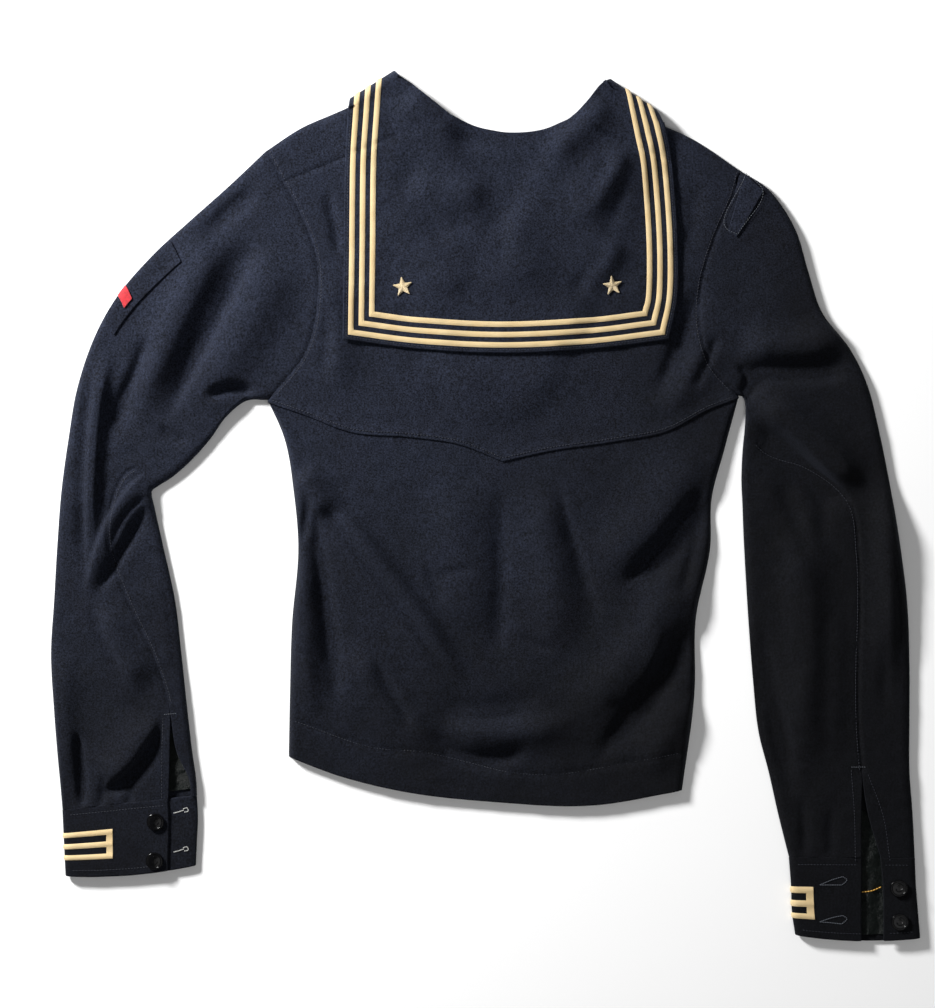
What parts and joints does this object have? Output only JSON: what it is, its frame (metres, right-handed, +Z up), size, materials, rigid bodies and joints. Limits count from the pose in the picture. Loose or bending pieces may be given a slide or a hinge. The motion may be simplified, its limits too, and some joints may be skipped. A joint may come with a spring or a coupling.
{
  "type": "sailor jumper",
  "caption": "Navy wool sailor jumper laid flat with its back up: pullover body, long sleeves with buttoned cuffs, and a square collar with tapes and stars.",
  "frame": {"origin": "on the surface that carries the jumper, under the middle of its outline", "axes": "+Z up out of the back of the garment, +Y from hem to neck, +X across the back to the wearer's right"},
  "size_m": [0.8267, 0.8266, 0.0171],
  "materials": {
    "navy_wool": "heavy twilled wool with a short nap, matt, very dark navy",
    "cream_tape": "woven cotton tape and satin-stitched stars, aged to cream",
    "green_satin": "dark green lining satin with a soft gloss",
    "black_plastic": "polished black, with a raised plain anchor",
    "red_felt": "red wool felt"
  },
  "bodies": {
    "root": {"front_panel": "navy_wool", "back_panel": "navy_wool", "back_yoke": "navy_wool", "collar": "navy_wool", "sleeve_left": "navy_wool", "sleeve_right": "navy_wool", "cuff_left": "navy_wool", "cuff_right": "navy_wool", "shoulder_tab": "navy_wool", "sleeve_badge": "navy_wool", "collar_tape_outer": "cream_tape", "collar_tape_middle": "cream_tape", "collar_tape_inner": "cream_tape", "collar_star_left": "cream_tape", "collar_star_right": "cream_tape", "cuff_tape_left": "cream_tape", "cuff_tape_right": "cream_tape", "cuff_lining_left": "green_satin", "cuff_lining_right": "green_satin", "cuff_button_left_upper": "black_plastic", "cuff_button_left_lower": "black_plastic", "cuff_button_right_upper": "black_plastic", "cuff_button_right_lower": "black_plastic", "badge_chevron": "red_felt"}
  },
  "joints": []
}
